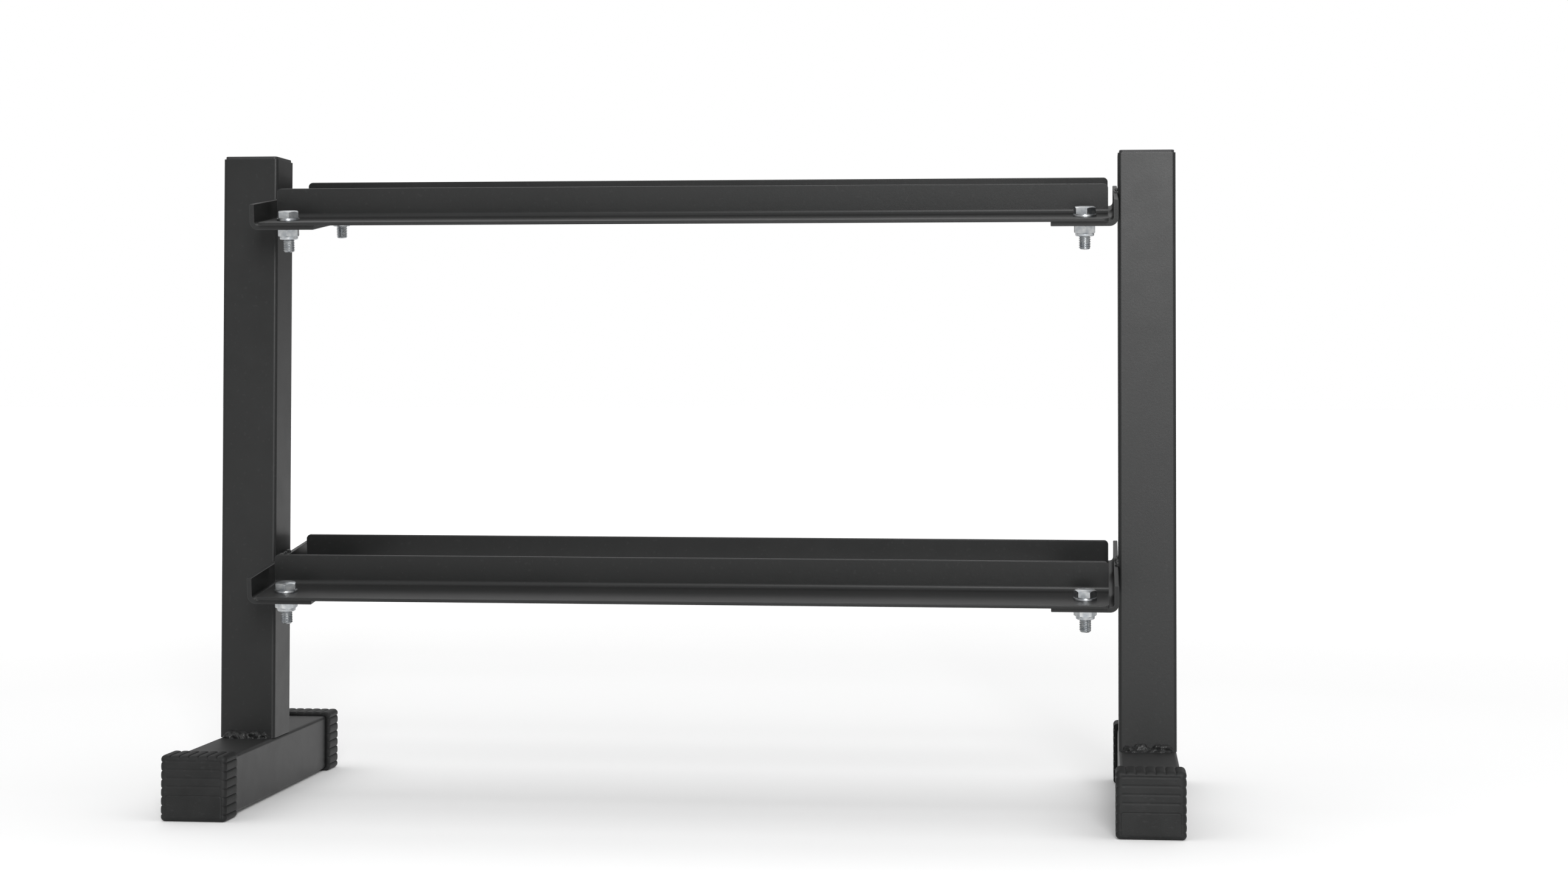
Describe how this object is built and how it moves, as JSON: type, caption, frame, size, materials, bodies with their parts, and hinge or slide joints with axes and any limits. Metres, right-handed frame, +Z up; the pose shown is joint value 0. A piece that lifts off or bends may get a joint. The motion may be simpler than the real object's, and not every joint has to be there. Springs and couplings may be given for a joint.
{
  "type": "dumbbell rack",
  "caption": "Two-tier dumbbell rack: square-tube uprights on rubber-capped feet, with bolted angle rails that make sloping, open shelves.",
  "frame": {"origin": "on the floor, in the middle of the rack's width and depth", "axes": "+X to the user's right along the shelves, +Y away from the user, +Z up"},
  "size_m": [0.8596, 0.356, 0.575],
  "materials": {
    "powder_coat": "satin black powder coat",
    "cap_rubber": "matt moulded rubber",
    "plug_plastic": "fine matt",
    "zinc_plate": "bright zinc plate",
    "nylon": "plain"
  },
  "bodies": {
    "root": {"left_upright": "powder_coat", "left_foot_tube": "powder_coat", "left_base_welds": "powder_coat", "left_top_plug": "plug_plastic", "left_front_foot_cap": "cap_rubber", "left_rear_foot_cap": "cap_rubber", "right_upright": "powder_coat", "right_foot_tube": "powder_coat", "right_base_welds": "powder_coat", "right_top_plug": "plug_plastic", "right_front_foot_cap": "cap_rubber", "right_rear_foot_cap": "cap_rubber", "lower_left_arm": "powder_coat", "lower_left_arm_welds": "powder_coat", "lower_right_arm": "powder_coat", "lower_right_arm_welds": "powder_coat", "lower_front_rail": "powder_coat", "lower_rear_rail": "powder_coat", "lower_shelf_bolts": "zinc_plate", "lower_shelf_washers": "zinc_plate", "lower_shelf_lock_nuts": "zinc_plate", "lower_shelf_nylon_rings": "nylon", "upper_left_arm": "powder_coat", "upper_left_arm_welds": "powder_coat", "upper_right_arm": "powder_coat", "upper_right_arm_welds": "powder_coat", "upper_front_rail": "powder_coat", "upper_rear_rail": "powder_coat", "upper_shelf_bolts": "zinc_plate", "upper_shelf_washers": "zinc_plate", "upper_shelf_lock_nuts": "zinc_plate", "upper_shelf_nylon_rings": "nylon"}
  },
  "joints": []
}
